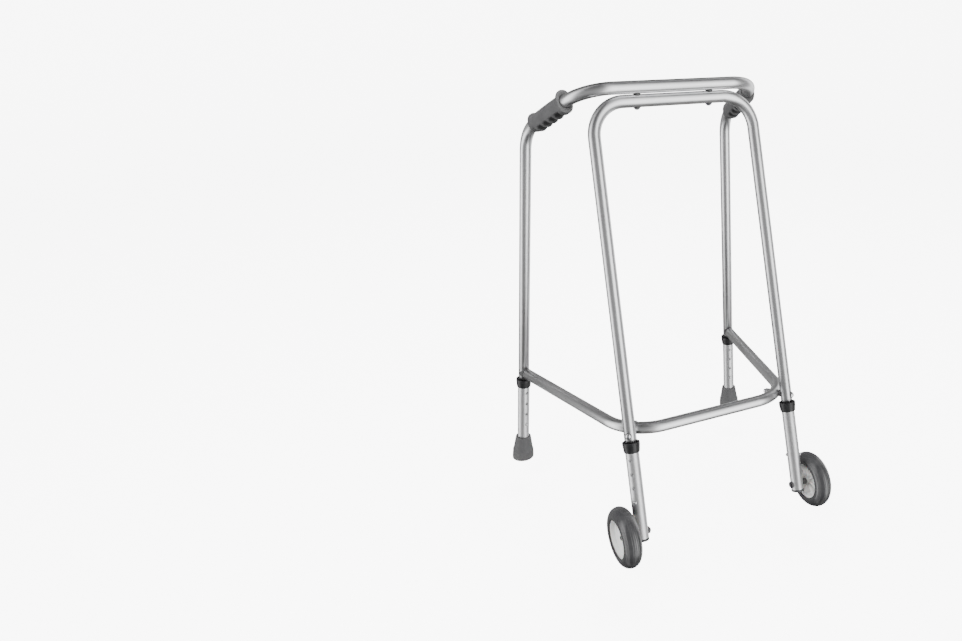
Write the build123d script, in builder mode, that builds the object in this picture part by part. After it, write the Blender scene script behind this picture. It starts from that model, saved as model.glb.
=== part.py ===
from build123d import *
import os
from math import cos, radians, sin, sqrt

# Walking frame with two front wheels and two rubber ferrules, in millimetres, +Z up.
# The user stands behind it, at +Y, and it rolls towards -Y. "side" is -1 on the
# user's left and +1 on the right. Heights are above the floor.

# ---------------------------------------------------------------- driving dimensions
TUBE_OD = 22.2                  # 7/8 inch bent tube
TUBE_WALL = 1.5
SLEEVE_OD = 24.8                # leg extension, slides outside the leg
SLEEVE_CLEARANCE = 0.08         # radial running clearance on the leg

RAIL_HEIGHT = 801.0             # centreline of the top rail
RAIL_Y = 20.13                  # puts the origin under the middle of the bounding box
RAIL_CORNER_HALF = 171.5        # top rail's corner, before it is rounded
RAIL_BEND = 70.0
ARM_END_HEIGHT = 712.0          # where the sloping arm would meet the rear leg's line
ARM_BEND = 60.0

REAR_HALF_TOP = 210.5           # rear leg's line at rail height
REAR_HALF_FLOOR = 266.0
REAR_BACK_TOP = 185.3           # behind the top rail
REAR_BACK_FLOOR = 206.2

TUBE_GAP = 0.7                  # between tubes that are bolted side by side
CROSS_HEIGHT = RAIL_HEIGHT - TUBE_OD - TUBE_GAP
CROSS_BEND = 60.0
FRONT_HALF_TOP = 157.0          # front leg's line at crossbar height
FRONT_HALF_FLOOR = 170.0
FRONT_REACH = 231.0             # forward lean from the crossbar to the floor

BRACE_FRONT_HEIGHT = 229.5
BRACE_REAR_HEIGHT = 207.0
BRACE_BEND = 84.5               # leaves TUBE_GAP to the front leg
BRACE_END_GAP = 3.5             # filled by the plastic saddle on the rear leg

FRONT_BUTTON_HEIGHT = 112.0
REAR_BUTTON_HEIGHT = 85.0
FRONT_BUTTON_HEADING = 45.0     # degrees from straight ahead, away from the middle
REAR_BUTTON_HEADING = -16.0
HOLE_PITCH = 25.4
HOLE_COUNT = 4
HOLE_D = 6.5
BUTTON_D = 6.1
BUTTON_STAND_OUT = 2.8          # beyond the sleeve
BUTTON_TRAVEL = 4.1

# Distances along a leg, from its snap button
LEG_END = -33.0
COLLAR_BOTTOM = 89.5
COLLAR_HEIGHT = 18.2
COLLAR_TOP = COLLAR_BOTTOM + COLLAR_HEIGHT
SLEEVE_TOP = COLLAR_BOTTOM + 12.0
FRONT_SLEEVE_BOTTOM = -69.5
REAR_SLEEVE_BOTTOM = -75.0

COLLAR_FOOT_R = 14.4
COLLAR_RIM_R = 16.0
COLLAR_BORE_R = 11.6
COLLAR_BAND = 5.0               # straight height of its rim
COLLAR_RIM_WALL = 1.8
COLLAR_WELL = 4.2               # depth of the open cup above the guide
COLLAR_CHAMFER = 0.7
END_PLUG_FLANGE = 4.5
END_PLUG_INSIDE = 5.0           # stays below the axle

SPRING_ARM = 8.0                # from the leg's line to the middle of the strip
SPRING_NECK = 4.0
SPRING_RISE = 42.0
SPRING_TIP = -7.0               # lower end of each arm
SPRING_KNEE = 8.0               # where the arms start to close in
SPRING_THICKNESS = 0.8
SPRING_WIDTH = 8.0
BUTTON_DOME = 1.6

WHEEL_RADIUS = 55.0
WHEEL_OFFSET = 33.7             # wheel's middle, outboard of the leg's line
TYRE_HALF_WIDTH = 16.7
HUB_HALF_WIDTH = 13.2
RIM_RADIUS = 36.0
RIM_SEAT_RADIUS = 34.0
RIM_FLANGE = 2.0
RIM_WALL = 2.6
BOSS_RADIUS = 8.5
BUSH_RADIUS = 4.8
HUB_RIBS = 8
RIB_WIDTH = 2.2
AXLE_D = 6.0
AXLE_CLEARANCE = 0.06
SIDE_PLAY = 0.4                 # between the hub's ends and what holds it
HUB_OUTER_END = 0.5             # the boss and its nut lie deep in the dish
WEB_INNER = -6.5
WEB_THICKNESS = 3.0
WEB_DISH = 9.0
RIB_FACE = 3.0                  # ribs stop short of the hub's inner face
RIB_ROOT = 1.0                  # how far the ribs run into what they join
AXLE_SEAT = -48.5               # under the axle bolt's head
AXLE_SADDLE_R = 6.5
SPACER_R = 6.0
AXLE_HOLE_REACH = 20.0          # beyond the leg's line, through the sleeve's inner wall
DISH_STEP = 1.0                 # the dish's outer corner, inside the rim
BOSS_DRAFT = 0.5
TYRE_LIP = 1.0                  # the tyre's edge, outside the rim

GRIP_LENGTH = 116.0
GRIP_TOP = 14.3                 # body of the grip above the tube's centreline
GRIP_LIP = 21.5                 # raised hand stops at its ends
REAR_LIP = 18.5
LIP_WIDTH = 4.0
GRIP_BOTTOM = 20.5
GRIP_HALF_WIDTH = 15.5
GRIP_ROUNDING = 15.0
FIRST_FINGER = 22.3             # from the grip's front end
FINGER_PITCH = 21.6
FINGER_DEPTH = 3.0
FINGERS = 4
GRIP_EDGE = 2.0                 # chamfer under its front end
RUN_OUT = 17.3                  # where the underside slopes up to the rear end
GRIP_START_GAP = 0.5            # behind the rail's bend

FERRULE_HEIGHT = 53.0
FERRULE_TOP_RADIUS = 16.4
FERRULE_BASE_RADIUS = 23.2
FERRULE_RING_HEIGHT = 20.5
FERRULE_WALL_HEIGHT = 4.0       # straight wall above the floor
FERRULE_RING_STEP = 0.9
FERRULE_CHAMFER = 1.2
TREAD_RINGS = (8.0, 14.0, 19.5)
TREAD_HALF_WIDTH = 0.9
TREAD_DEPTH = 1.2

CROSS_BOLT_X = 71.0
M6 = 6.0
M6_HEAD_D = 11.0
M6_HEAD_HEIGHT = 3.3
M6_KEY_FLATS = 4.0
M6_KEY_DEPTH = 2.0
M6_NUT_FLATS = 10.0
M6_NUT_HEIGHT = 6.0
NUT_DOME_HEIGHT = 3.5
NUT_DOME_TAPER = 18.0           # degrees
NUT_SHOULDER = 0.6
LOCK_RING_HEIGHT = 1.6          # round collar of the axle's lock nut, over its insert
LOCK_NUT_RECESS = 1.5           # the axle's end, below the top of the nut
THREAD_END = 2.0                # a bolt stops this far short of its insert's end
SADDLE_D = 13.0
WASHER_D = 12.0
WASHER_RISE = 1.2
PLUG_DEPTH = 16.0
PLUG_LIP = 0.3                  # the brace plug's head, beyond the tube
SEAT_GAP = 0.03                 # between pieces that are clamped face to face
CLEARANCE_HOLE_R = M6 / 2 + 0.2
INSERT_RADIUS = 4.3             # threaded insert in the rail's lower wall
INSERT_FLANGE_RADIUS = 5.4
INSERT_LENGTH = 12.0

TUBE_R = TUBE_OD / 2
BORE_R = TUBE_R - TUBE_WALL
SLEEVE_R = SLEEVE_OD / 2
SLEEVE_BORE_R = TUBE_R + SLEEVE_CLEARANCE

SIDES = {"left": -1, "right": 1}


def save(piece, name):
    piece.label = name
    export_step(piece, f"parts/{name}.step")


# ---------------------------------------------------------------- the legs' lines
def front_leg(side, height):
    fall = (CROSS_HEIGHT - height) / CROSS_HEIGHT
    half = FRONT_HALF_TOP + (FRONT_HALF_FLOOR - FRONT_HALF_TOP) * fall
    return Vector(side * half, RAIL_Y - FRONT_REACH * fall, height)


def rear_leg(side, height):
    fall = (RAIL_HEIGHT - height) / RAIL_HEIGHT
    half = REAR_HALF_TOP + (REAR_HALF_FLOOR - REAR_HALF_TOP) * fall
    back = REAR_BACK_TOP + (REAR_BACK_FLOOR - REAR_BACK_TOP) * fall
    return Vector(side * half, RAIL_Y + back, height)


def leg_plane(leg, side, button_height, heading):
    """A plane at the snap button on the leg's line: Z up the leg, X out through the button."""
    origin = leg(side, button_height)
    up = (leg(side, RAIL_HEIGHT) - origin).normalized()
    ahead = Vector(side * sin(radians(heading)), -cos(radians(heading)), 0)
    across = (ahead - up * ahead.dot(up)).normalized()
    return Plane(origin=origin, x_dir=across, z_dir=up)


def radial_plane(plane):
    """The plane for a profile of (radius, height) that is turned about the plane's Z."""
    return Plane(origin=plane.origin, x_dir=plane.x_dir, z_dir=plane.x_dir.cross(plane.z_dir))


def axis_of(plane):
    return Axis(plane.origin, plane.z_dir)


FRONT_LEGS = {
    name: leg_plane(front_leg, side, FRONT_BUTTON_HEIGHT, FRONT_BUTTON_HEADING)
    for name, side in SIDES.items()
}
REAR_LEGS = {
    name: leg_plane(rear_leg, side, REAR_BUTTON_HEIGHT, REAR_BUTTON_HEADING)
    for name, side in SIDES.items()
}


# ---------------------------------------------------------------- bent tubes
def bent_tube(points, bends, radius, bore):
    """A tube along straight runs joined by round bends; a bore of 0 gives a solid bar."""
    with BuildPart() as tube:
        with BuildLine() as route:
            FilletPolyline(*points, radius=bends)
        with BuildSketch(Plane(origin=route.wire() @ 0, z_dir=route.wire() % 0)):
            Circle(radius)
            if bore:
                Circle(bore, mode=Mode.SUBTRACT)
        sweep(path=route.wire())
    return tube.part


def rod(start, end, radius):
    """A round bar between two points, used for bolts and to cut their holes."""
    with BuildPart() as bar:
        with BuildSketch(Plane(origin=start, z_dir=end - start)):
            Circle(radius)
        extrude(amount=(end - start).length)
    return bar.part


def leg_end(plane):
    return plane.origin + plane.z_dir * LEG_END


TOP_ROUTE = (
    leg_end(REAR_LEGS["left"]),
    rear_leg(-1, ARM_END_HEIGHT),
    Vector(-RAIL_CORNER_HALF, RAIL_Y, RAIL_HEIGHT),
    Vector(RAIL_CORNER_HALF, RAIL_Y, RAIL_HEIGHT),
    rear_leg(1, ARM_END_HEIGHT),
    leg_end(REAR_LEGS["right"]),
)
TOP_BENDS = (ARM_BEND, RAIL_BEND, RAIL_BEND, ARM_BEND)

FRONT_ROUTE = (
    leg_end(FRONT_LEGS["left"]),
    front_leg(-1, CROSS_HEIGHT),
    front_leg(1, CROSS_HEIGHT),
    leg_end(FRONT_LEGS["right"]),
)
FRONT_BENDS = (CROSS_BEND, CROSS_BEND)


def brace_direction(side):
    """Along the brace's side bar, from its front corner to the rear leg."""
    return (rear_leg(side, BRACE_REAR_HEIGHT) - front_leg(side, BRACE_FRONT_HEIGHT)).normalized()


def brace_end(side):
    back_off = TUBE_R + BRACE_END_GAP
    return rear_leg(side, BRACE_REAR_HEIGHT) - brace_direction(side) * back_off


BRACE_ROUTE = (
    brace_end(-1),
    front_leg(-1, BRACE_FRONT_HEIGHT),
    front_leg(1, BRACE_FRONT_HEIGHT),
    brace_end(1),
)
BRACE_BENDS = (BRACE_BEND, BRACE_BEND)


def brace_bolt_direction(side):
    """Outwards through the brace's bend and the front leg, along the bend's bisector."""
    inwards = Vector(-side, 0, 0) + brace_direction(side)
    return inwards.normalized() * -1


def brace_bend_middle(side):
    inwards = brace_bolt_direction(side) * -1
    half_sine = sqrt(1 - inwards.dot(Vector(-side, 0, 0)) ** 2)
    set_back = BRACE_BEND * (1 / half_sine - 1)
    return front_leg(side, BRACE_FRONT_HEIGHT) + inwards * set_back


# ---------------------------------------------------------------- the frame's three tubes
os.makedirs("parts", exist_ok=True)


def bolt_hole(middle, direction, radius):
    """A cutter through a whole tube, square across its line."""
    reach = direction * TUBE_OD
    return rod(middle - reach, middle + reach, radius)


def cross_bolt_point(side, height):
    return Vector(side * CROSS_BOLT_X, RAIL_Y, height)


with BuildPart() as top_tube:
    add(bent_tube(TOP_ROUTE, TOP_BENDS, TUBE_R, BORE_R))
    for name, side in SIDES.items():
        plane = REAR_LEGS[name]
        add(bolt_hole(plane.origin, plane.x_dir, HOLE_D / 2), mode=Mode.SUBTRACT)
        joint = rear_leg(side, BRACE_REAR_HEIGHT)
        add(bolt_hole(joint, brace_direction(side), CLEARANCE_HOLE_R), mode=Mode.SUBTRACT)
        low, high = (cross_bolt_point(side, h) for h in (CROSS_HEIGHT, RAIL_HEIGHT))
        add(rod(low, high, INSERT_RADIUS), mode=Mode.SUBTRACT)
save(top_tube.part, "top_tube")

with BuildPart() as front_tube:
    add(bent_tube(FRONT_ROUTE, FRONT_BENDS, TUBE_R, BORE_R))
    for name, side in SIDES.items():
        plane = FRONT_LEGS[name]
        add(bolt_hole(plane.origin, plane.x_dir, HOLE_D / 2), mode=Mode.SUBTRACT)
        joint = front_leg(side, BRACE_FRONT_HEIGHT)
        add(bolt_hole(joint, brace_bolt_direction(side), CLEARANCE_HOLE_R), mode=Mode.SUBTRACT)
        middle = cross_bolt_point(side, CROSS_HEIGHT)
        add(bolt_hole(middle, Vector(0, 0, 1), CLEARANCE_HOLE_R), mode=Mode.SUBTRACT)
save(front_tube.part, "front_tube")

with BuildPart() as brace_tube:
    add(bent_tube(BRACE_ROUTE, BRACE_BENDS, TUBE_R, BORE_R))
    for side in SIDES.values():
        middle, outwards = brace_bend_middle(side), brace_bolt_direction(side)
        add(bolt_hole(middle, outwards, CLEARANCE_HOLE_R), mode=Mode.SUBTRACT)
save(brace_tube.part, "brace_tube")


# ---------------------------------------------------------------- hand grips
def arm_line(side):
    front = Vector(side * RAIL_CORNER_HALF, RAIL_Y, RAIL_HEIGHT)
    return front, (rear_leg(side, ARM_END_HEIGHT) - front).normalized()


def grip_start(side):
    """The front end of the grip, where the rail's bend has become straight."""
    corner, along = arm_line(side)
    turn = radians(Vector(side, 0, 0).get_angle(along))
    set_back = RAIL_BEND * sin(turn / 2) / cos(turn / 2)
    return corner + along * (set_back + GRIP_START_GAP)


def grip(side):
    """An oval grip with finger hollows beneath and a raised stop at each end above."""
    along = arm_line(side)[1]
    level = Vector(along.Y, -along.X, 0).normalized()
    start = grip_start(side)
    side_view = Plane(origin=start, x_dir=along, z_dir=level)
    end_view = Plane(origin=start, x_dir=level * -1, z_dir=along)
    hollow_radius = (FINGER_PITCH**2 / 4 + FINGER_DEPTH**2) / (2 * FINGER_DEPTH)
    hollow_middle = FINGER_DEPTH - GRIP_BOTTOM - hollow_radius
    hollows = [(FIRST_FINGER + n * FINGER_PITCH, hollow_middle) for n in range(FINGERS)]
    with BuildPart() as body:
        with BuildSketch(side_view):
            with BuildLine():
                Polyline(
                    (0, GRIP_EDGE - GRIP_BOTTOM),
                    (0, GRIP_LIP),
                    (LIP_WIDTH, GRIP_LIP),
                    (2 * LIP_WIDTH, GRIP_TOP),
                    (GRIP_LENGTH - 2 * LIP_WIDTH, GRIP_TOP),
                    (GRIP_LENGTH - LIP_WIDTH, REAR_LIP),
                    (GRIP_LENGTH, REAR_LIP),
                    (GRIP_LENGTH, -GRIP_TOP),
                    (GRIP_LENGTH - RUN_OUT, -GRIP_BOTTOM),
                    (GRIP_EDGE, -GRIP_BOTTOM),
                    close=True,
                )
            make_face()
            with Locations(*hollows):
                Circle(hollow_radius, mode=Mode.SUBTRACT)
        extrude(amount=GRIP_HALF_WIDTH, both=True)
        with BuildSketch(end_view):
            with Locations((0, (GRIP_LIP - GRIP_BOTTOM) / 2)):
                RectangleRounded(2 * GRIP_HALF_WIDTH, GRIP_LIP + GRIP_BOTTOM, GRIP_ROUNDING)
        extrude(amount=GRIP_LENGTH, mode=Mode.INTERSECT)
        with BuildSketch(end_view):
            Circle(TUBE_R + SEAT_GAP)
        extrude(amount=GRIP_LENGTH, mode=Mode.SUBTRACT)
    return body.part


for name, side in SIDES.items():
    save(grip(side), f"grip_{name}")


# ---------------------------------------------------------------- fasteners of the frame
def bolt(seat, direction, length):
    """A domed button-head bolt: seat is under the head, direction points along its shank."""
    head_side = Plane(origin=seat, z_dir=direction * -1)
    dome = (M6_HEAD_D**2 / 4 + M6_HEAD_HEIGHT**2) / (2 * M6_HEAD_HEIGHT)
    with BuildPart() as piece:
        with BuildSketch(radial_plane(head_side)):
            with BuildLine():
                Polyline((0, M6_HEAD_HEIGHT), (0, 0), (M6_HEAD_D / 2, 0))
                RadiusArc((M6_HEAD_D / 2, 0), (0, M6_HEAD_HEIGHT), -dome)
            make_face()
        revolve(axis=axis_of(head_side))
        with BuildSketch(head_side):
            Circle(M6 / 2)
        extrude(amount=-length)
        with BuildSketch(head_side.offset(M6_HEAD_HEIGHT)):
            RegularPolygon(M6_KEY_FLATS / 2, 6, major_radius=False)
        extrude(amount=-M6_KEY_DEPTH, mode=Mode.SUBTRACT)
    return piece.part


def dome_nut(seat, direction):
    """An acorn nut: seat is its face on the work, direction points away from the work."""
    face = Plane(origin=seat, z_dir=direction)
    with BuildPart() as piece:
        with BuildSketch(face):
            RegularPolygon(M6_NUT_FLATS / 2, 6, major_radius=False)
        extrude(amount=M6_NUT_HEIGHT)
        with BuildSketch(face.offset(M6_NUT_HEIGHT)):
            Circle(M6_NUT_FLATS / 2 - NUT_SHOULDER)
        extrude(amount=NUT_DOME_HEIGHT, taper=NUT_DOME_TAPER)
        with BuildSketch(face):
            Circle(M6 / 2 + SEAT_GAP)
        extrude(amount=M6_NUT_HEIGHT, mode=Mode.SUBTRACT)
    return piece.part


def saddle(low, high, first, second):
    """A moulded spacer on the line low-high that fills the gap between two tubes."""
    with BuildPart() as piece:
        add(rod(low, high, SADDLE_D / 2))
        for tube in (first, second):
            add(tube, mode=Mode.SUBTRACT)
        add(rod(low, high, CLEARANCE_HOLE_R), mode=Mode.SUBTRACT)
    return piece.part


def curved_washer(middle, direction, tube):
    """A washer that fits the tube's round side and gives the fastener a flat seat."""
    top = middle + direction * (TUBE_R + WASHER_RISE)
    with BuildPart() as piece:
        add(rod(middle, top, WASHER_D / 2))
        add(tube, mode=Mode.SUBTRACT)
        add(rod(middle, top, CLEARANCE_HOLE_R), mode=Mode.SUBTRACT)
    return piece.part


def both_sides(make):
    """One node that holds the left and the right copy of an identical fastener."""
    with BuildPart() as pair:
        for side in SIDES.values():
            add(make(side))
    return pair.part


top_bar = bent_tube(TOP_ROUTE, TOP_BENDS, TUBE_R + SEAT_GAP, 0)
front_bar = bent_tube(FRONT_ROUTE, FRONT_BENDS, TUBE_R + SEAT_GAP, 0)
brace_bar = bent_tube(BRACE_ROUTE, BRACE_BENDS, TUBE_R + SEAT_GAP, 0)
UP = Vector(0, 0, 1)
SEAT = TUBE_R + WASHER_RISE + SEAT_GAP


def cross_saddle(side):
    low, high = (cross_bolt_point(side, h) for h in (CROSS_HEIGHT, RAIL_HEIGHT))
    with BuildPart() as piece:
        add(saddle(low, high, front_bar, top_bar))
        add(rod(low, high, INSERT_FLANGE_RADIUS + SEAT_GAP), mode=Mode.SUBTRACT)
    return piece.part


def cross_insert(side):
    """A threaded insert whose flange lies between the tubes, under the rail."""
    foot = RAIL_HEIGHT - TUBE_R - TUBE_GAP + SEAT_GAP
    low, rim, top = (
        cross_bolt_point(side, h) for h in (foot, foot + TUBE_WALL, foot + INSERT_LENGTH)
    )
    with BuildPart() as piece:
        add(rod(low, rim, INSERT_FLANGE_RADIUS))
        add(top_bar, mode=Mode.SUBTRACT)
        add(rod(low, top, INSERT_RADIUS - SEAT_GAP))
        add(rod(low, top, M6 / 2 + SEAT_GAP), mode=Mode.SUBTRACT)
    return piece.part


def cross_washer(side):
    return curved_washer(cross_bolt_point(side, CROSS_HEIGHT), UP * -1, front_bar)


def cross_bolt(side):
    seat = cross_bolt_point(side, CROSS_HEIGHT - SEAT)
    return bolt(seat, UP, SEAT + TUBE_R + TUBE_GAP + INSERT_LENGTH - THREAD_END)


def brace_saddle(side):
    return saddle(brace_bend_middle(side), front_leg(side, BRACE_FRONT_HEIGHT), brace_bar, front_bar)


def brace_washers(side):
    outwards = brace_bolt_direction(side)
    with BuildPart() as pair:
        add(curved_washer(front_leg(side, BRACE_FRONT_HEIGHT), outwards, front_bar))
        add(curved_washer(brace_bend_middle(side), outwards * -1, brace_bar))
    return pair.part


def brace_bolt(side):
    outwards = brace_bolt_direction(side)
    seat = front_leg(side, BRACE_FRONT_HEIGHT) + outwards * SEAT
    reach = (seat - brace_bend_middle(side)).length + SEAT + M6_NUT_HEIGHT - THREAD_END
    return bolt(seat, outwards * -1, reach)


def brace_nut(side):
    inwards = brace_bolt_direction(side) * -1
    return dome_nut(brace_bend_middle(side) + inwards * SEAT, inwards)


def brace_end_plug(side):
    """Closes the brace's end and seats it on the round side of the rear leg."""
    joint, end, along = rear_leg(side, BRACE_REAR_HEIGHT), brace_end(side), brace_direction(side)
    with BuildPart() as piece:
        add(rod(end + along * SEAT_GAP, joint, TUBE_R + PLUG_LIP))
        add(top_bar, mode=Mode.SUBTRACT)
        add(rod(end - along * PLUG_DEPTH, end + along, BORE_R - SEAT_GAP))
        add(rod(end - along * PLUG_DEPTH, joint, M6 / 2 + SEAT_GAP), mode=Mode.SUBTRACT)
    return piece.part


def rear_washer(side):
    return curved_washer(rear_leg(side, BRACE_REAR_HEIGHT), brace_direction(side), top_bar)


def rear_bolt(side):
    """Goes in from behind the rear leg and screws into the plug in the brace's end."""
    along = brace_direction(side)
    seat = rear_leg(side, BRACE_REAR_HEIGHT) + along * SEAT
    return bolt(seat, along * -1, SEAT + TUBE_R + BRACE_END_GAP + PLUG_DEPTH - THREAD_END)


for name, make in {
    "crossbar_saddles": cross_saddle,
    "crossbar_inserts": cross_insert,
    "crossbar_washers": cross_washer,
    "crossbar_bolts": cross_bolt,
    "brace_saddles": brace_saddle,
    "brace_washers": brace_washers,
    "brace_bolts": brace_bolt,
    "brace_nuts": brace_nut,
    "brace_end_plugs": brace_end_plug,
    "rear_washers": rear_washer,
    "rear_bolts": rear_bolt,
}.items():
    save(both_sides(make), name)


# ---------------------------------------------------------------- snap buttons
def snap_spring(plane):
    """A bent strip inside the leg that pushes its two buttons outwards."""
    arm, neck = SPRING_ARM, SPRING_NECK
    with BuildPart() as strip:
        with BuildSketch(radial_plane(plane)):
            with BuildLine() as shape:
                Polyline((arm, SPRING_TIP), (arm, SPRING_KNEE), (neck, SPRING_RISE))
                RadiusArc((neck, SPRING_RISE), (-neck, SPRING_RISE), -neck)
                Polyline((-neck, SPRING_RISE), (-arm, SPRING_KNEE), (-arm, SPRING_TIP))
            trace(line_width=SPRING_THICKNESS)
        extrude(amount=SPRING_WIDTH / 2, both=True)
    return strip.part


def snap_button(plane, way):
    """A round pin with a domed end, from the spring's arm out through leg and sleeve."""
    outwards = plane.x_dir * way
    foot = plane.origin + outwards * (SPRING_ARM + SPRING_THICKNESS / 2 + SEAT_GAP)
    height = SLEEVE_R + BUTTON_STAND_OUT - SPRING_ARM - SPRING_THICKNESS / 2 - SEAT_GAP
    turned = Plane(origin=foot, x_dir=plane.z_dir, z_dir=outwards)
    radius = BUTTON_D / 2
    dome = (radius**2 + BUTTON_DOME**2) / (2 * BUTTON_DOME)
    with BuildPart() as pin:
        with BuildSketch(radial_plane(turned)):
            with BuildLine():
                Polyline((0, height), (0, 0), (radius, 0), (radius, height - BUTTON_DOME))
                RadiusArc((radius, height - BUTTON_DOME), (0, height), -dome)
            make_face()
        revolve(axis=axis_of(turned))
    return pin.part


LEGS = {
    **{f"front_{name}": plane for name, plane in FRONT_LEGS.items()},
    **{f"rear_{name}": plane for name, plane in REAR_LEGS.items()},
}
for name, plane in LEGS.items():
    save(snap_spring(plane), f"snap_spring_{name}")
    save(snap_button(plane, 1), f"snap_button_{name}_a")
    save(snap_button(plane, -1), f"snap_button_{name}_b")


# ---------------------------------------------------------------- leg extensions
def sleeve(plane, bottom):
    """The extension tube with its two facing rows of height holes."""
    with BuildPart() as tube:
        with BuildSketch(plane.offset(bottom)):
            Circle(SLEEVE_R)
            Circle(SLEEVE_BORE_R, mode=Mode.SUBTRACT)
        extrude(amount=SLEEVE_TOP - bottom)
        for n in range(HOLE_COUNT):
            level = plane.origin + plane.z_dir * (n * HOLE_PITCH)
            add(bolt_hole(level, plane.x_dir, HOLE_D / 2), mode=Mode.SUBTRACT)
    return tube.part


def collar(plane):
    """A cup-shaped cap on the sleeve's top end that guides the leg."""
    with BuildPart() as cup:
        with BuildSketch(radial_plane(plane)):
            with BuildLine():
                Polyline(
                    (SLEEVE_R + SEAT_GAP, COLLAR_BOTTOM),
                    (COLLAR_FOOT_R - COLLAR_CHAMFER, COLLAR_BOTTOM),
                    (COLLAR_FOOT_R, COLLAR_BOTTOM + COLLAR_CHAMFER),
                    (COLLAR_RIM_R, COLLAR_TOP - COLLAR_BAND),
                    (COLLAR_RIM_R, COLLAR_TOP - COLLAR_CHAMFER),
                    (COLLAR_RIM_R - COLLAR_CHAMFER, COLLAR_TOP),
                    (COLLAR_RIM_R - COLLAR_RIM_WALL, COLLAR_TOP),
                    (COLLAR_RIM_R - COLLAR_RIM_WALL, COLLAR_TOP - COLLAR_WELL + COLLAR_CHAMFER),
                    (COLLAR_BORE_R, COLLAR_TOP - COLLAR_WELL),
                    (COLLAR_BORE_R, SLEEVE_TOP + SEAT_GAP),
                    (SLEEVE_R + SEAT_GAP, SLEEVE_TOP + SEAT_GAP),
                    close=True,
                )
            make_face()
        revolve(axis=axis_of(plane))
    return cup.part


def ferrule(plane):
    """A flared rubber foot, stepped near the floor and cut level with it."""
    foot = plane.origin.Z / plane.z_dir.Z
    ring = FERRULE_RING_HEIGHT - foot
    top = FERRULE_HEIGHT - foot
    base = FERRULE_BASE_RADIUS
    bore = SLEEVE_R + SEAT_GAP
    with BuildPart() as rubber:
        with BuildSketch(radial_plane(plane)):
            with BuildLine():
                Polyline(
                    (0, -foot - FERRULE_WALL_HEIGHT),
                    (base, -foot - FERRULE_WALL_HEIGHT),
                    (base, -foot + FERRULE_WALL_HEIGHT),
                    (base - FERRULE_RING_STEP, ring),
                    (base - 2 * FERRULE_RING_STEP, ring + FERRULE_RING_STEP),
                    (FERRULE_TOP_RADIUS, top - FERRULE_CHAMFER),
                    (FERRULE_TOP_RADIUS - FERRULE_CHAMFER, top),
                    (bore + FERRULE_CHAMFER, top),
                    (bore, top - FERRULE_CHAMFER),
                    (bore, REAR_SLEEVE_BOTTOM - SEAT_GAP),
                    (0, REAR_SLEEVE_BOTTOM - SEAT_GAP),
                    close=True,
                )
            make_face()
        revolve(axis=axis_of(plane))
        split(bisect_by=Plane.XY, keep=Keep.TOP)
        with BuildSketch(Plane.XY):
            with Locations((plane.origin - plane.z_dir * foot)):
                for radius in TREAD_RINGS:
                    Circle(radius + TREAD_HALF_WIDTH)
                    Circle(radius - TREAD_HALF_WIDTH, mode=Mode.SUBTRACT)
        extrude(amount=TREAD_DEPTH, mode=Mode.SUBTRACT)
    return rubber.part


def end_plug(plane):
    """Closes the bottom of a front sleeve."""
    with BuildPart() as plug:
        with BuildSketch(plane.offset(FRONT_SLEEVE_BOTTOM - SEAT_GAP)):
            Circle(SLEEVE_R)
        extrude(amount=-END_PLUG_FLANGE)
        with BuildSketch(plane.offset(FRONT_SLEEVE_BOTTOM - SEAT_GAP)):
            Circle(SLEEVE_BORE_R - SEAT_GAP)
        extrude(amount=END_PLUG_INSIDE)
    return plug.part


def wheel_plane(side):
    """At the wheel's middle: Z outboard along the axle, X up."""
    middle = front_leg(side, WHEEL_RADIUS) + Vector(side * WHEEL_OFFSET, 0, 0)
    return Plane(origin=middle, x_dir=(0, 0, 1), z_dir=(side, 0, 0))


def axle_hole(plane, radius, start, end):
    middle, along = plane.origin, plane.z_dir
    return rod(middle + along * start, middle + along * end, radius)


def front_sleeve(side, plane):
    with BuildPart() as tube:
        add(sleeve(plane, FRONT_SLEEVE_BOTTOM))
        inner = -WHEEL_OFFSET - AXLE_HOLE_REACH
        across = axle_hole(wheel_plane(side), CLEARANCE_HOLE_R, inner, -HUB_HALF_WIDTH)
        add(across, mode=Mode.SUBTRACT)
    return tube.part


def sleeve_bar(plane):
    """The front sleeve's outside as a solid bar, to fit spacers against."""
    low = plane.origin + plane.z_dir * FRONT_SLEEVE_BOTTOM
    return rod(low, plane.origin, SLEEVE_R + SEAT_GAP)


def axle_saddle(side, plane):
    """A curved seat under the axle bolt's head, on the sleeve's inner side."""
    with BuildPart() as seat:
        add(axle_hole(wheel_plane(side), AXLE_SADDLE_R, AXLE_SEAT, -WHEEL_OFFSET))
        add(sleeve_bar(plane), mode=Mode.SUBTRACT)
        through = axle_hole(wheel_plane(side), CLEARANCE_HOLE_R, AXLE_SEAT, -HUB_HALF_WIDTH)
        add(through, mode=Mode.SUBTRACT)
    return seat.part


def axle_spacer(side, plane):
    """Keeps the hub clear of the sleeve."""
    outer = -HUB_HALF_WIDTH - SIDE_PLAY
    with BuildPart() as spacer:
        add(axle_hole(wheel_plane(side), SPACER_R, -WHEEL_OFFSET, outer))
        add(sleeve_bar(plane), mode=Mode.SUBTRACT)
        add(axle_hole(wheel_plane(side), CLEARANCE_HOLE_R, -WHEEL_OFFSET, outer), mode=Mode.SUBTRACT)
    return spacer.part


def axle_bolt(side):
    plane = wheel_plane(side)
    seat = plane.origin + plane.z_dir * (AXLE_SEAT - SEAT_GAP)
    end = HUB_OUTER_END + SIDE_PLAY + M6_NUT_HEIGHT - LOCK_NUT_RECESS
    return bolt(seat, plane.z_dir, end - AXLE_SEAT)


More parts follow.
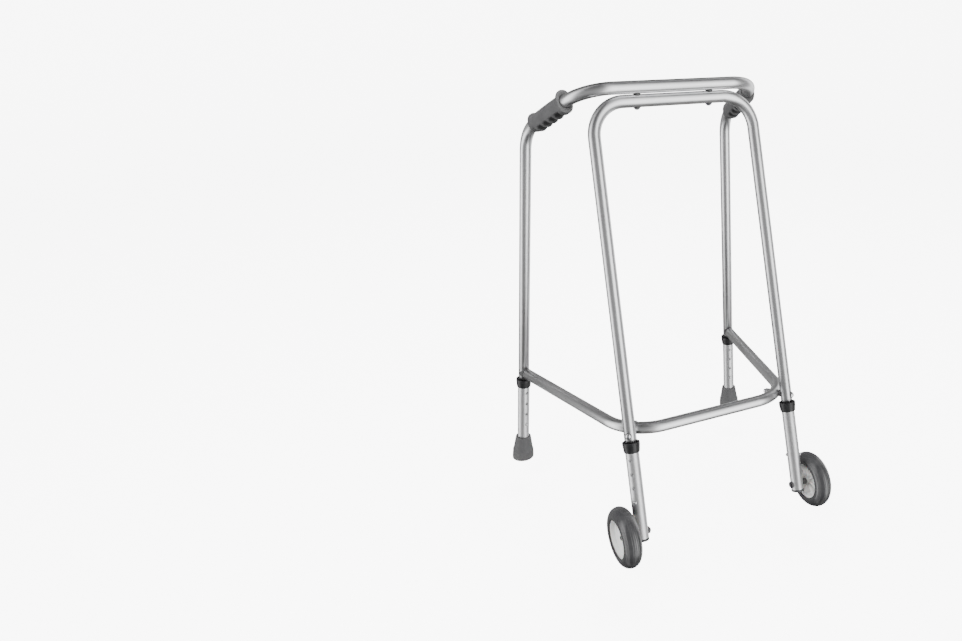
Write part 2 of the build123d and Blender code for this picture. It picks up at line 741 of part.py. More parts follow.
def axle_nut(side):
    """A lock nut, open at its outer end, where the axle's end lies a little inside it."""
    face = wheel_plane(side).offset(HUB_OUTER_END + SIDE_PLAY)
    with BuildPart() as nut:
        with BuildSketch(face):
            RegularPolygon(M6_NUT_FLATS / 2, 6, major_radius=False)
        extrude(amount=M6_NUT_HEIGHT - LOCK_RING_HEIGHT)
        with BuildSketch(face):
            Circle(M6_NUT_FLATS / 2 - NUT_SHOULDER)
        extrude(amount=M6_NUT_HEIGHT)
        with BuildSketch(face):
            Circle(M6 / 2 + SEAT_GAP)
        extrude(amount=M6_NUT_HEIGHT, mode=Mode.SUBTRACT)
    return nut.part


# ---------------------------------------------------------------- wheels
def hub(side):
    """A moulded hub: deep smooth dish outboard, ribs on the side that faces the leg."""
    plane = wheel_plane(side)
    rim_inner = RIM_SEAT_RADIUS - RIM_WALL
    flange = HUB_HALF_WIDTH - RIM_FLANGE
    with BuildPart() as moulding:
        with BuildSketch(radial_plane(plane)):
            with BuildLine():
                Polyline(
                    (BUSH_RADIUS, -HUB_HALF_WIDTH),
                    (BOSS_RADIUS, -HUB_HALF_WIDTH),
                    (BOSS_RADIUS, WEB_INNER),
                    (rim_inner, WEB_INNER + WEB_DISH),
                    (rim_inner, -HUB_HALF_WIDTH),
                    (RIM_RADIUS, -HUB_HALF_WIDTH),
                    (RIM_RADIUS, -flange),
                    (RIM_SEAT_RADIUS, -flange),
                    (RIM_SEAT_RADIUS, flange),
                    (RIM_RADIUS, flange),
                    (RIM_RADIUS, HUB_HALF_WIDTH),
                    (rim_inner, HUB_HALF_WIDTH),
                    (rim_inner - DISH_STEP, WEB_INNER + WEB_DISH + WEB_THICKNESS),
                    (BOSS_RADIUS, WEB_INNER + WEB_THICKNESS),
                    (BOSS_RADIUS - BOSS_DRAFT, HUB_OUTER_END),
                    (BUSH_RADIUS, HUB_OUTER_END),
                    close=True,
                )
            make_face()
        revolve(axis=axis_of(plane))
        for n in range(HUB_RIBS):
            with BuildSketch(radial_plane(plane.rotated((0, 0, n * 360 / HUB_RIBS)))):
                with BuildLine():
                    Polyline(
                        (BOSS_RADIUS - RIB_ROOT, RIB_FACE - HUB_HALF_WIDTH),
                        (rim_inner + RIB_ROOT, RIB_FACE - HUB_HALF_WIDTH),
                        (rim_inner + RIB_ROOT, WEB_INNER + WEB_DISH + RIB_ROOT),
                        (BOSS_RADIUS - RIB_ROOT, WEB_INNER + RIB_ROOT),
                        close=True,
                    )
                make_face()
            extrude(amount=RIB_WIDTH / 2, both=True)
    return moulding.part


def bush(side):
    plane = wheel_plane(side)
    with BuildPart() as liner:
        add(axle_hole(plane, BUSH_RADIUS - SEAT_GAP, -HUB_HALF_WIDTH, HUB_OUTER_END))
        bore = AXLE_D / 2 + AXLE_CLEARANCE
        add(axle_hole(plane, bore, -HUB_HALF_WIDTH, HUB_OUTER_END), mode=Mode.SUBTRACT)
    return liner.part


def tyre(side):
    """A round-section tyre seated between the rim's flanges."""
    plane = wheel_plane(side)
    section = TYRE_HALF_WIDTH
    middle = WHEEL_RADIUS - section
    edge = RIM_RADIUS + TYRE_LIP
    rim = RIM_RADIUS + SEAT_GAP
    lip = sqrt(section**2 - (middle - edge) ** 2)
    seat = RIM_SEAT_RADIUS + SEAT_GAP
    well = HUB_HALF_WIDTH - RIM_FLANGE - SEAT_GAP
    with BuildPart() as rubber:
        with BuildSketch(radial_plane(plane)):
            with BuildLine():
                Polyline(
                    (edge, -lip),
                    (rim, TYRE_LIP - lip),
                    (rim, -well),
                    (seat, -well),
                    (seat, well),
                    (rim, well),
                    (rim, lip - TYRE_LIP),
                    (edge, lip),
                )
                ThreePointArc((edge, lip), (WHEEL_RADIUS, 0), (edge, -lip))
            make_face()
        revolve(axis=axis_of(plane))
    return rubber.part


for name, side in SIDES.items():
    plane = FRONT_LEGS[name]
    save(front_sleeve(side, plane), f"sleeve_front_{name}")
    save(collar(plane), f"collar_front_{name}")
    save(end_plug(plane), f"end_plug_{name}")
    save(axle_saddle(side, plane), f"axle_saddle_{name}")
    save(axle_spacer(side, plane), f"axle_spacer_{name}")
    save(axle_bolt(side), f"axle_bolt_{name}")
    save(axle_nut(side), f"axle_nut_{name}")
    save(hub(side), f"hub_{name}")
    save(bush(side), f"bush_{name}")
    save(tyre(side), f"tyre_{name}")
    plane = REAR_LEGS[name]
    save(sleeve(plane, REAR_SLEEVE_BOTTOM), f"sleeve_rear_{name}")
    save(collar(plane), f"collar_rear_{name}")
    save(ferrule(plane), f"ferrule_{name}")
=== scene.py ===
from math import cos, pi, radians, sin, sqrt, tan

import bmesh
import bpy
from mathutils import Matrix, Vector


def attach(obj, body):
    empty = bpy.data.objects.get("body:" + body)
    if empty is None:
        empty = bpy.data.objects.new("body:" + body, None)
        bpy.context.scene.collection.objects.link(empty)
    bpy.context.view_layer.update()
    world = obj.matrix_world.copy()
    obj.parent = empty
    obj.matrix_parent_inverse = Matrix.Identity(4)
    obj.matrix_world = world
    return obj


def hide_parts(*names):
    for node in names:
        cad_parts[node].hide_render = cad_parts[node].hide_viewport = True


# The looks of the walking frame, in metres. It stands on the floor at z = 0 and rolls
# towards -Y, with the user behind it at +Y. "side" is -1 on the user's left, +1 on the right.

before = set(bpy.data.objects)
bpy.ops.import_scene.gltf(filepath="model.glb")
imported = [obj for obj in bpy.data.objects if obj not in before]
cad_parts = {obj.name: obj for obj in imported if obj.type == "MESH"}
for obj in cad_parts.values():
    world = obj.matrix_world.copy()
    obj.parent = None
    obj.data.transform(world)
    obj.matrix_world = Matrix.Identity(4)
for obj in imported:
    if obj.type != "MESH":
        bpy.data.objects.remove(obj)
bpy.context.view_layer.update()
SIDES = {"left": -1, "right": 1}

# ---------------------------------------------------------------- sizes
# All but FINGER_DEPTH are the CAD model's own. Its grips have shallower hollows.
TUBE_R = 0.0111
TUBE_WALL = 0.0015
SLEEVE_R = 0.0124
RAIL_HEIGHT = 0.801
RAIL_Y = 0.02013
RAIL_CORNER_HALF = 0.1715
RAIL_BEND = 0.070
ARM_END_HEIGHT = 0.712
ARM_BEND = 0.060
REAR_HALF_TOP = 0.2105
REAR_HALF_FLOOR = 0.266
REAR_BACK_TOP = 0.1853
REAR_BACK_FLOOR = 0.2062
CROSS_HEIGHT = RAIL_HEIGHT - 2 * TUBE_R - 0.0007
CROSS_BEND = 0.060
FRONT_HALF_TOP = 0.157
FRONT_HALF_FLOOR = 0.170
FRONT_REACH = 0.231
BRACE_FRONT_HEIGHT = 0.2295
BRACE_REAR_HEIGHT = 0.207
BRACE_BEND = 0.0845
BRACE_END_GAP = 0.0035
FRONT_BUTTON_HEIGHT = 0.112
REAR_BUTTON_HEIGHT = 0.085
LEG_END = 0.033
COLLAR_BOTTOM = 0.0895
COLLAR_TOP = 0.1077
SLEEVE_TOP = 0.1015
REAR_SLEEVE_BOTTOM = -0.075
COLLAR_FOOT_R = 0.0144
COLLAR_RIM_R = 0.016
COLLAR_BORE_R = 0.0116
WHEEL_RADIUS = 0.055
WHEEL_OFFSET = 0.0337
TYRE_HALF_WIDTH = 0.0167
HUB_HALF_WIDTH = 0.0132
RIM_RADIUS = 0.036
RIM_SEAT_RADIUS = 0.034
RIM_WALL = 0.0026
BOSS_RADIUS = 0.0085
BUSH_RADIUS = 0.0048
HUB_RIBS = 8
RIB_WIDTH = 0.0022
HUB_OUTER_END = 0.0005
WEB_INNER = -0.0065
WEB_THICKNESS = 0.003
WEB_DISH = 0.009
GRIP_LENGTH = 0.116
GRIP_TOP = 0.0143
GRIP_LIP = 0.0215
REAR_LIP = 0.0185
GRIP_BOTTOM = 0.0205
GRIP_HALF_WIDTH = 0.0155
RUN_OUT = 0.0173
FINGERS = 4
FIRST_FINGER = 0.0223
FINGER_PITCH = 0.0216
FINGER_DEPTH = 0.0048
FERRULE_HEIGHT = 0.053
FERRULE_TOP_RADIUS = 0.0164
FERRULE_BASE_RADIUS = 0.0232
FERRULE_RING_HEIGHT = 0.0205
TREAD_RINGS = (0.008, 0.014, 0.0195)
TREAD_HALF_WIDTH = 0.0009
TREAD_DEPTH = 0.0012
RIM_FLANGE = 0.002
RIB_FACE = 0.003
GRIP_START_GAP = 0.0005
MM = 0.001


# ---------------------------------------------------------------- the legs' lines
def front_leg(side, height):
    fall = (CROSS_HEIGHT - height) / CROSS_HEIGHT
    half = FRONT_HALF_TOP + (FRONT_HALF_FLOOR - FRONT_HALF_TOP) * fall
    return Vector((side * half, RAIL_Y - FRONT_REACH * fall, height))


def rear_leg(side, height):
    fall = (RAIL_HEIGHT - height) / RAIL_HEIGHT
    half = REAR_HALF_TOP + (REAR_HALF_FLOOR - REAR_HALF_TOP) * fall
    back = REAR_BACK_TOP + (REAR_BACK_FLOOR - REAR_BACK_TOP) * fall
    return Vector((side * half, RAIL_Y + back, height))


def leg_up(leg, side):
    return (leg(side, 1.0) - leg(side, 0.0)).normalized()


def leg_end(leg, side, button_height):
    return leg(side, button_height) - leg_up(leg, side) * LEG_END


def brace_end(side):
    rear, front = rear_leg(side, BRACE_REAR_HEIGHT), front_leg(side, BRACE_FRONT_HEIGHT)
    return rear - (rear - front).normalized() * (TUBE_R + BRACE_END_GAP)


TOP_ROUTE = [
    leg_end(rear_leg, -1, REAR_BUTTON_HEIGHT),
    rear_leg(-1, ARM_END_HEIGHT),
    Vector((-RAIL_CORNER_HALF, RAIL_Y, RAIL_HEIGHT)),
    Vector((RAIL_CORNER_HALF, RAIL_Y, RAIL_HEIGHT)),
    rear_leg(1, ARM_END_HEIGHT),
    leg_end(rear_leg, 1, REAR_BUTTON_HEIGHT),
]
FRONT_ROUTE = [
    leg_end(front_leg, -1, FRONT_BUTTON_HEIGHT),
    front_leg(-1, CROSS_HEIGHT),
    front_leg(1, CROSS_HEIGHT),
    leg_end(front_leg, 1, FRONT_BUTTON_HEIGHT),
]
BRACE_ROUTE = [
    brace_end(-1),
    front_leg(-1, BRACE_FRONT_HEIGHT),
    front_leg(1, BRACE_FRONT_HEIGHT),
    brace_end(1),
]


# ---------------------------------------------------------------- mesh helpers
def finished(name, bm, smooth_angle=40):
    """Turns a bmesh into a smooth-shaded object whose sharp edges stay sharp."""
    bmesh.ops.recalc_face_normals(bm, faces=bm.faces)
    for face in bm.faces:
        face.smooth = True
    for edge in bm.edges:
        if len(edge.link_faces) == 2 and edge.calc_face_angle(0) > radians(smooth_angle):
            edge.smooth = False
    mesh = bpy.data.meshes.new(name)
    bm.to_mesh(mesh)
    bm.free()
    piece = bpy.data.objects.new(name, mesh)
    bpy.context.scene.collection.objects.link(piece)
    return piece


def around(segments):
    """The angles of points spaced evenly round a circle."""
    return [2 * pi * k / segments for k in range(segments)]


def lofted(bm, rings, closed_loft=False):
    """Skins a list of equal rings of points with quads, and returns the rings of vertices."""
    made = [[bm.verts.new(p) for p in ring] for ring in rings]
    spans = len(made) if closed_loft else len(made) - 1
    for i in range(spans):
        low, high = made[i], made[(i + 1) % len(made)]
        for k in range(len(low)):
            n = (k + 1) % len(low)
            bm.faces.new((low[k], low[n], high[n], high[k]))
    return made


def rounded(corners, radii, steps=5):
    """A closed profile whose corners are rounded, each with its own radius."""
    out = []
    for k, corner in enumerate(corners):
        here = Vector(corner)
        before = Vector(corners[k - 1]) - here
        after = Vector(corners[(k + 1) % len(corners)]) - here
        radius = radii[k] if isinstance(radii, (list, tuple)) else radii
        turn = before.angle(after)
        if radius <= 0 or turn > radians(178):
            out.append(tuple(here))
            continue
        back = min(radius / tan(turn / 2), 0.48 * before.length, 0.48 * after.length)
        start, end = here + before.normalized() * back, here + after.normalized() * back
        for i in range(steps + 1):
            t = i / steps
            out.append(tuple(start * (1 - t) ** 2 + here * 2 * t * (1 - t) + end * t * t))
    return out


def turned(name, profile, origin, axis, start, segments=96, level_below=0.0):
    """Turns a closed profile of (radius, height) about an axis. Below level_below the
    heights are measured straight up from the floor instead of along the axis."""
    axis = axis.normalized()
    start = (start - axis * start.dot(axis)).normalized()
    across = axis.cross(start)
    bm = bmesh.new()
    rings = []
    for radius, height in profile:
        ring = []
        for angle in around(segments):
            out = (start * cos(angle) + across * sin(angle)) * max(radius, 0.0)
            point = origin + axis * height + out
            if level_below:
                share = min(1.0, max(0.0, 1 - height / level_below))
                point -= axis * (share * out.z / axis.z)
            ring.append(point)
        rings.append(ring)
    lofted(bm, rings, closed_loft=True)
    bmesh.ops.remove_doubles(bm, verts=bm.verts, dist=1e-6)
    bmesh.ops.dissolve_degenerate(bm, edges=bm.edges, dist=1e-7)
    return finished(name, bm)


def bent_line(points, bends):
    """The points along straight runs joined by round bends, with one every two degrees."""
    line = [points[0]]
    for k, bend in enumerate(bends, start=1):
        here = points[k]
        back, on = points[k - 1] - here, points[k + 1] - here
        turn = pi - back.angle(on)
        set_back = bend * tan(turn / 2)
        start = here + back.normalized() * set_back
        end = here + on.normalized() * set_back
        bisector = (back.normalized() + on.normalized()).normalized()
        middle = here + bisector * (bend / cos(turn / 2))
        steps = max(2, int(turn / radians(2.0)))
        a, b = start - middle, end - middle
        for i in range(steps + 1):
            t = i / steps
            share = (sin((1 - t) * turn) * a + sin(t * turn) * b) / sin(turn)
            line.append(middle + share)
    line.append(points[-1])
    return line


def tube(name, points, bends, segments=72):
    """A bent tube with its bore and rounded ends, mapped in metres round and along it."""
    line = bent_line(points, bends)
    directions = []
    for k in range(len(line)):
        before = line[k] - line[max(k - 1, 0)]
        after = line[min(k + 1, len(line) - 1)] - line[k]
        directions.append((before.normalized() + after.normalized()).normalized())
    directions[0] = (line[1] - line[0]).normalized()
    directions[-1] = (line[-1] - line[-2]).normalized()
    side_way = directions[0].orthogonal().normalized()
    bm = bmesh.new()
    uv = bm.loops.layers.uv.new("along")
    edge = 0.3 * MM
    outside, inside, travelled, lengths = [], [], 0.0, []
    for k, (point, along) in enumerate(zip(line, directions)):
        if k:
            travelled += (point - line[k - 1]).length
            side_way = (side_way - along * side_way.dot(along)).normalized()
        up_way = along.cross(side_way)
        lengths.append(travelled)
        for radius, rings in ((TUBE_R, outside), (TUBE_R - TUBE_WALL, inside)):
            rings.append([
                point + (side_way * cos(a) + up_way * sin(a)) * radius
                for a in around(segments)
            ])
    low_rim = [p + (q - p).normalized() * edge for p, q in zip(outside[0], inside[0])]
    high_rim = [p + (q - p).normalized() * edge for p, q in zip(outside[-1], inside[-1])]
    first = [p + directions[0] * edge for p in outside[0]]
    last = [p - directions[-1] * edge for p in outside[-1]]
    skin = [low_rim, first] + outside[1:-1] + [last, high_rim]
    skin_lengths = [-edge, edge] + lengths[1:-1] + [lengths[-1] - edge, lengths[-1] + edge]
    made = lofted(bm, skin + inside[::-1], closed_loft=True)
    girth = 2 * pi * TUBE_R
    position = {}
    for ring, length in zip(made, skin_lengths + lengths[::-1]):
        for i, vertex in enumerate(ring):
            position[vertex] = (i, length)
    for face in bm.faces:
        columns = [position[loop.vert][0] for loop in face.loops]
        wraps = max(columns) - min(columns) > 1
        for loop in face.loops:
            i, length = position[loop.vert]
            i += segments if wraps and i == 0 else 0
            loop[uv].uv = (i / segments * girth, length)
    return finished(name, bm, 60)


# ---------------------------------------------------------------- material helpers
class Nodes:
    """A small hand for building one material's node tree."""

    def __init__(self, name, **constants):
        self.material = bpy.data.materials.new(name)
        self.material.use_nodes = True
        self.tree = self.material.node_tree
        self.shader = self.tree.nodes["Principled BSDF"]
        for socket, value in constants.items():
            self.shader.inputs[socket.replace("_", " ")].default_value = value

    def new(self, kind, **settings):
        node = self.tree.nodes.new(kind)
        for key, value in settings.items():
            setattr(node, key, value)
        return node

    def link(self, output, target):
        self.tree.links.new(output, target)

    def place(self, scale=(1, 1, 1), along_tube=False, rotation=(0, 0, 0)):
        """Surface coordinates in metres, stretched by scale."""
        mapping = self.new("ShaderNodeMapping")
        mapping.inputs["Scale"].default_value = scale
        mapping.inputs["Rotation"].default_value = rotation
        if along_tube:
            source = self.new("ShaderNodeUVMap", uv_map="along").outputs[0]
        else:
            source = self.new("ShaderNodeTexCoord").outputs["Object"]
        self.link(source, mapping.inputs["Vector"])
        return mapping.outputs["Vector"]

    def noise(self, vector, scale, detail, rough):
        node = self.new("ShaderNodeTexNoise")
        node.inputs["Scale"].default_value = scale
        node.inputs["Detail"].default_value = detail
        node.inputs["Roughness"].default_value = rough
        self.link(vector, node.inputs["Vector"])
        return node.outputs["Fac"]

    def cells(self, vector, scale):
        """Distances in a pattern of soft-edged cells."""
        node = self.new("ShaderNodeTexVoronoi", feature="SMOOTH_F1")
        node.inputs["Scale"].default_value = scale
        self.link(vector, node.inputs["Vector"])
        return node.outputs["Distance"]

    def span(self, value, low, high, to_low=0.0, to_high=1.0):
        node = self.new("ShaderNodeMapRange")
        for socket, number in zip(("From Min", "From Max", "To Min", "To Max"),
                                  (low, high, to_low, to_high)):
            node.inputs[socket].default_value = number
        self.link(value, node.inputs["Value"])
        return node.outputs["Result"]

    def mix(self, share, first, second):
        """first where share is 0, second where it is 1; each a colour or an output."""
        node = self.new("ShaderNodeMix", data_type="RGBA")
        for index, colour in ((6, first), (7, second)):
            if isinstance(colour, tuple):
                node.inputs[index].default_value = (*colour[:3], 1.0)
            else:
                self.link(colour, node.inputs[index])
        self.link(share, node.inputs[0])
        return node.outputs[2]

    def maths(self, operation, first, second):
        node = self.new("ShaderNodeMath", operation=operation)
        self.link(first, node.inputs[0])
        self.link(second, node.inputs[1])
        return node.outputs[0]

    def height(self):
        """Height above the floor, in metres, at rest."""
        split = self.new("ShaderNodeSeparateXYZ")
        self.link(self.place(), split.inputs[0])
        return split.outputs["Z"]

    def colour(self, output):
        self.link(output, self.shader.inputs["Base Color"])

    def roughness(self, output):
        self.link(output, self.shader.inputs["Roughness"])

    def bump(self, output, depth, strength=1.0):
        """Adds relief; several calls stack, each on top of the one before."""
        node = self.new("ShaderNodeBump")
        node.inputs["Strength"].default_value = strength
        node.inputs["Distance"].default_value = depth
        self.link(output, node.inputs["Height"])
        previous = self.shader.inputs["Normal"]
        if previous.is_linked:
            self.link(previous.links[0].from_socket, node.inputs["Normal"])
        self.link(node.outputs["Normal"], previous)


# ---------------------------------------------------------------- materials
def anodised_tube():
    """Satin anodised aluminium, with the fine lines of drawing along the tube."""
    m = Nodes("anodised_tube", Metallic=1.0)
    lines = m.noise(m.place((1, 0.012, 1), along_tube=True), 5200, 2.0, 0.6)
    bands = m.noise(m.place((1, 0.03, 1), along_tube=True), 420, 2.0, 0.5)
    clouds = m.noise(m.place(), 16, 4.0, 0.6)
    satin = m.noise(m.place(), 3800, 2.0, 0.5)
    tone = m.mix(m.span(clouds, 0.3, 0.7), (0.62, 0.625, 0.635), (0.70, 0.70, 0.705))
    tone = m.mix(m.span(lines, 0.35, 0.65, 0.0, 0.3), tone, (0.52, 0.525, 0.53))
    scuffs = m.noise(m.place((1, 6, 1), along_tube=True), 60, 5.0, 0.7)
    tone = m.mix(m.span(scuffs, 0.66, 0.74, 0.0, 0.25), tone, (0.45, 0.45, 0.45))
    m.colour(tone)
    rough = m.maths("ADD", m.span(bands, 0.3, 0.7, 0.24, 0.31), m.span(lines, 0.3, 0.7, 0.0, 0.07))
    m.roughness(rough)
    m.bump(lines, 0.006 * MM)
    m.bump(satin, 0.003 * MM)
    return m.material


def worn_sleeve(tilt):
    """Duller extruded aluminium with rub marks along the leg, tilted as the leg is."""
    m = Nodes("worn_sleeve", Metallic=1.0)
    streaks = m.noise(m.place((1, 1, 0.02), rotation=tilt), 1900, 3.0, 0.6)
    rubs = m.noise(m.place((1, 1, 0.12), rotation=tilt), 230, 4.0, 0.65)
    clouds = m.noise(m.place(), 40, 4.0, 0.6)
    tone = m.mix(m.span(streaks, 0.3, 0.7), (0.57, 0.575, 0.585), (0.69, 0.69, 0.695))
    tone = m.mix(m.span(rubs, 0.58, 0.72, 0.0, 0.4), tone, (0.42, 0.42, 0.425))
    tone = m.mix(m.span(clouds, 0.55, 0.8, 0.0, 0.3), tone, (0.46, 0.46, 0.46))
    m.colour(tone)
    m.roughness(m.span(rubs, 0.3, 0.75, 0.38, 0.50))
    m.bump(streaks, 0.008 * MM)
    return m.material


def grip_vinyl():
    """Grey moulded vinyl with a fine leather-like grain, paler rubbed places, and painted shade in its
    creases and finger hollows.
    """
    m = Nodes("grip_vinyl", Specular_IOR_Level=0.45)
    grain = m.cells(m.place(), 1500)
    fine = m.noise(m.place(), 2600, 3.0, 0.6)
    clouds = m.noise(m.place(), 55, 4.0, 0.6)
    tone = m.mix(m.span(clouds, 0.3, 0.7), (0.058, 0.058, 0.060), (0.088, 0.088, 0.090))
    tone = m.mix(m.span(grain, 0.05, 0.45, 0.5, 0.0), tone, (0.034, 0.034, 0.036))
    hollow = m.new("ShaderNodeNewGeometry").outputs["Pointiness"]
    tone = m.mix(m.span(hollow, 0.505, 0.56, 0.0, 0.5), tone, (0.15, 0.15, 0.15))
    # Painted shade: darker where the surface is concave.
    tone = m.mix(m.span(hollow, 0.44, 0.495, 0.6, 0.0), tone, (0.018, 0.018, 0.018))
    # Painted shade: the finger hollows on the underside are darkened almost to black.
    notch_shade = m.new("ShaderNodeAttribute", attribute_name="hollow").outputs["Fac"]
    tone = m.mix(m.span(notch_shade, 0.2, 0.7, 0.0, 0.92), tone, (0.008, 0.008, 0.009))
    m.colour(tone)
    m.roughness(m.span(clouds, 0.3, 0.7, 0.48, 0.62))
    m.bump(grain, 0.06 * MM, 0.8)
    m.bump(fine, 0.02 * MM, 0.6)
    return m.material


def ferrule_rubber():
    """Grey rubber, dusty and scuffed near the floor, with faint mould flow marks."""
    m = Nodes("ferrule_rubber", Specular_IOR_Level=0.4)
    grain = m.noise(m.place(), 2400, 4.0, 0.65)
    flow = m.noise(m.place((1, 1, 0.6)), 90, 5.0, 0.6)
    tone = m.mix(m.span(flow, 0.3, 0.7), (0.062, 0.062, 0.064), (0.088, 0.088, 0.090))
    low_down = m.span(m.height(), 0.0, 0.02, 1.0, 0.0)
    dust = m.maths("MULTIPLY", low_down, m.span(flow, 0.35, 0.65, 0.2, 1.0))
    tone = m.mix(m.span(dust, 0.0, 1.0, 0.0, 0.55), tone, (0.145, 0.142, 0.136))
    edge = m.new("ShaderNodeNewGeometry").outputs["Pointiness"]
    tone = m.mix(m.span(edge, 0.51, 0.58, 0.0, 0.6), tone, (0.19, 0.19, 0.19))
    m.colour(tone)
    m.roughness(m.span(flow, 0.3, 0.7, 0.55, 0.75))
    m.bump(grain, 0.05 * MM, 0.7)
    return m.material


def tyre_rubber():
    """Dark grey tyre with a soft sheen and dust in its fine grooves."""
    m = Nodes("tyre_rubber", Specular_IOR_Level=0.85)
    grain = m.noise(m.place(), 2800, 3.0, 0.6)
    clouds = m.noise(m.place(), 45, 5.0, 0.65)
    tone = m.mix(m.span(clouds, 0.3, 0.7), (0.026, 0.026, 0.028), (0.040, 0.040, 0.042))
    hollow = m.new("ShaderNodeNewGeometry").outputs["Pointiness"]
    tone = m.mix(m.span(hollow, 0.42, 0.495, 0.7, 0.0), tone, (0.065, 0.063, 0.060))
    m.colour(tone)
    m.roughness(m.span(clouds, 0.3, 0.7, 0.20, 0.28))
    m.bump(grain, 0.012 * MM, 0.5)
    return m.material


def hub_plastic():
    """Off-white nylon moulding with a faint orange-peel surface, and painted shade in its concave
    corners and round the foot of its boss.
    """
    m = Nodes("hub_plastic", Specular_IOR_Level=0.5, Subsurface_Weight=0.08, Subsurface_Scale=0.002)
    peel = m.noise(m.place(), 520, 2.0, 0.5)
    clouds = m.noise(m.place(), 60, 4.0, 0.6)
    tone = m.mix(m.span(clouds, 0.3, 0.7), (0.70, 0.70, 0.685), (0.80, 0.80, 0.79))
    hollow = m.new("ShaderNodeNewGeometry").outputs["Pointiness"]
    # Painted shade: darker where the surface is concave.
    tone = m.mix(m.span(hollow, 0.42, 0.49, 0.75, 0.0), tone, (0.36, 0.35, 0.33))
    # Painted shade: darker round the foot of the boss by the axle.
    boss_shade = m.new("ShaderNodeAttribute", attribute_name="boss_shade").outputs["Fac"]
    tone = m.mix(m.span(boss_shade, 0.72, 1.0, 0.0, 0.6), tone, (0.13, 0.125, 0.115))
    m.colour(tone)
    m.roughness(m.span(clouds, 0.3, 0.7, 0.34, 0.46))
    m.bump(peel, 0.03 * MM, 0.5)
    return m.material


def black_plastic():
    """Black moulded plastic with a fine spark-eroded texture and dulled edges."""
    m = Nodes("black_plastic", Specular_IOR_Level=0.38)
    spark = m.noise(m.place(), 2600, 3.0, 0.7)
    clouds = m.noise(m.place(), 90, 4.0, 0.6)
    tone = m.mix(m.span(clouds, 0.3, 0.7), (0.007, 0.007, 0.008), (0.015, 0.015, 0.016))
    edge = m.new("ShaderNodeNewGeometry").outputs["Pointiness"]
    tone = m.mix(m.span(edge, 0.52, 0.6, 0.0, 0.7), tone, (0.075, 0.075, 0.076))
    m.colour(tone)
    m.roughness(m.span(clouds, 0.3, 0.7, 0.30, 0.45))
    m.bump(spark, 0.02 * MM, 0.6)
    return m.material


def bush_nylon():
    """Cream nylon with faint turning rings."""
    m = Nodes("bush_nylon", Specular_IOR_Level=0.5)
    rings = m.noise(m.place((1, 8, 8)), 900, 2.0, 0.5)
    tone = m.mix(m.span(rings, 0.3, 0.7), (0.66, 0.65, 0.58), (0.74, 0.73, 0.66))
    m.colour(tone)
    m.roughness(m.span(rings, 0.3, 0.7, 0.35, 0.5))
    m.bump(rings, 0.01 * MM)
    return m.material


def bright_steel():
    """Zinc-plated steel, bright, with small scratches and a faint cloudiness."""
    m = Nodes("bright_steel", Metallic=1.0)
    scratches = m.noise(m.place((1, 1, 9)), 900, 5.0, 0.7)
    clouds = m.noise(m.place(), 240, 3.0, 0.6)
    tone = m.mix(m.span(clouds, 0.3, 0.7), (0.58, 0.585, 0.60), (0.76, 0.76, 0.765))
    m.colour(tone)
    m.roughness(m.span(scratches, 0.3, 0.7, 0.13, 0.30))
    m.bump(scratches, 0.006 * MM)
    return m.material


def painted_shade_axle_steel():
    """Near-black steel for the axle, its darkness painted shade at the axle's end, with an oily film.
    """
    m = Nodes("painted_shade_axle_steel", Metallic=1.0)
    film = m.noise(m.place(), 420, 4.0, 0.6)
    # Painted shade: the axle's near-black tone.
    m.colour(m.mix(m.span(film, 0.3, 0.7), (0.045, 0.045, 0.048), (0.12, 0.12, 0.125)))
    m.roughness(m.span(film, 0.3, 0.7, 0.28, 0.46))
    m.bump(film, 0.01 * MM)
    return m.material


def spring_steel():
    """Dull blue-grey strip steel with rolling lines."""
    m = Nodes("spring_steel", Metallic=1.0)
    rolled = m.noise(m.place((6, 6, 0.2)), 500, 3.0, 0.6)
    tone = m.mix(m.span(rolled, 0.3, 0.7), (0.30, 0.31, 0.33), (0.42, 0.43, 0.45))
    m.colour(tone)
    m.roughness(m.span(rolled, 0.3, 0.7, 0.3, 0.42))
    m.bump(rolled, 0.006 * MM)
    return m.material


def studio_paper():
    """Plain pale paper, with the slightest tooth and a glow that keeps it near white."""
    m = Nodes("studio_paper", Specular_IOR_Level=0.2, Roughness=0.85, Emission_Strength=7.0)
    tooth = m.noise(m.place(), 180, 3.0, 0.5)
    m.colour(m.mix(m.span(tooth, 0.3, 0.7), (0.91, 0.91, 0.91), (0.93, 0.93, 0.93)))
    m.shader.inputs["Emission Color"].default_value = (1, 1, 1, 1)
    return m.material


def leg_tilt(leg, side):
    """The rotation that lays a leg's line along Z, for grain that runs along the leg."""
    return leg_up(leg, side).rotation_difference(Vector((0, 0, 1))).to_euler()


METAL = {
    "tube": anodised_tube(),
    "steel": bright_steel(),
    "axle": painted_shade_axle_steel(),
    "spring": spring_steel(),
}
SOFT = {
    "grip": grip_vinyl(),
    "ferrule": ferrule_rubber(),
    "tyre": tyre_rubber(),
    "hub": hub_plastic(),
    "black": black_plastic(),
    "bush": bush_nylon(),
}


def wear(piece, material):
    piece.data.materials.clear()
    piece.data.materials.append(material)


def stand_for(piece, node, body, material):
    """Gives a piece its material and its place in the table."""
    wear(piece, material)
    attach(piece, body)
    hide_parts(node)


# ---------------------------------------------------------------- bent tubes
for node, route, bends in (
    ("top_tube", TOP_ROUTE, (ARM_BEND, RAIL_BEND, RAIL_BEND, ARM_BEND)),
    ("front_tube", FRONT_ROUTE, (CROSS_BEND, CROSS_BEND)),
    ("brace_tube", BRACE_ROUTE, (BRACE_BEND, BRACE_BEND)),
):
    stand_for(tube(f"bent_{node}", route, bends), node, "frame", METAL["tube"])


# ---------------------------------------------------------------- hand grips
def smooth_step(low, high, value):
    t = min(1.0, max(0.0, (value - low) / (high - low)))
    return t * t * (3 - 2 * t)


def end_rounding(along):
    """Pulls the grip's ends in, so that their edges are round: 0 at the very end, 1 inside."""
    edge = 1.6 * MM
    reach = min(along, GRIP_LENGTH - along) / edge
    return sqrt(max(0.0, 1 - (1 - min(1.0, reach)) ** 2))


